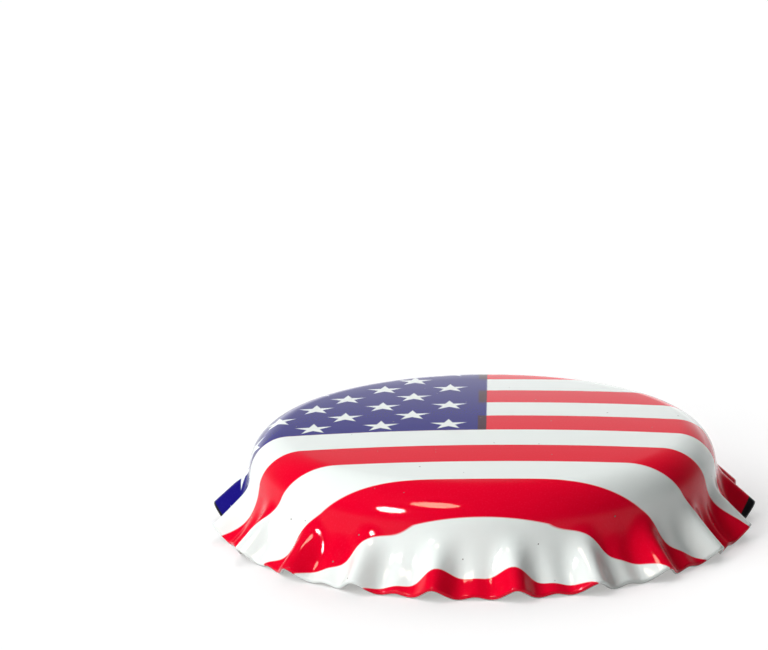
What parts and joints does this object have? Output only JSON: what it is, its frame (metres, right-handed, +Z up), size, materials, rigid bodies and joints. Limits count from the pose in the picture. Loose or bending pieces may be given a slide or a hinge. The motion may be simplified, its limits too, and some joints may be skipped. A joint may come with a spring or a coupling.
{
  "type": "crown cork bottle cap",
  "caption": "Fluted pry-off bottle cap in printed tinplate, with a soft sealing liner inside, as supplied before it is crimped on.",
  "frame": {"origin": "on the cap's axis, in the plane that its rim rests on", "axes": "+Z up along the cap's axis, out of the domed top; +X along the printed stripes, away from the field of stars; +Y across the stripes, towards the edge that has the field of stars"},
  "size_m": [0.032, 0.0319, 0.0062],
  "materials": {
    "printed_tinplate": "red, white and blue print under clear gloss lacquer, bare steel at the cut edge",
    "liner_compound": "smooth translucent off-white compound, satin"
  },
  "bodies": {
    "root": {"shell": "printed_tinplate", "liner": "liner_compound"}
  },
  "joints": []
}
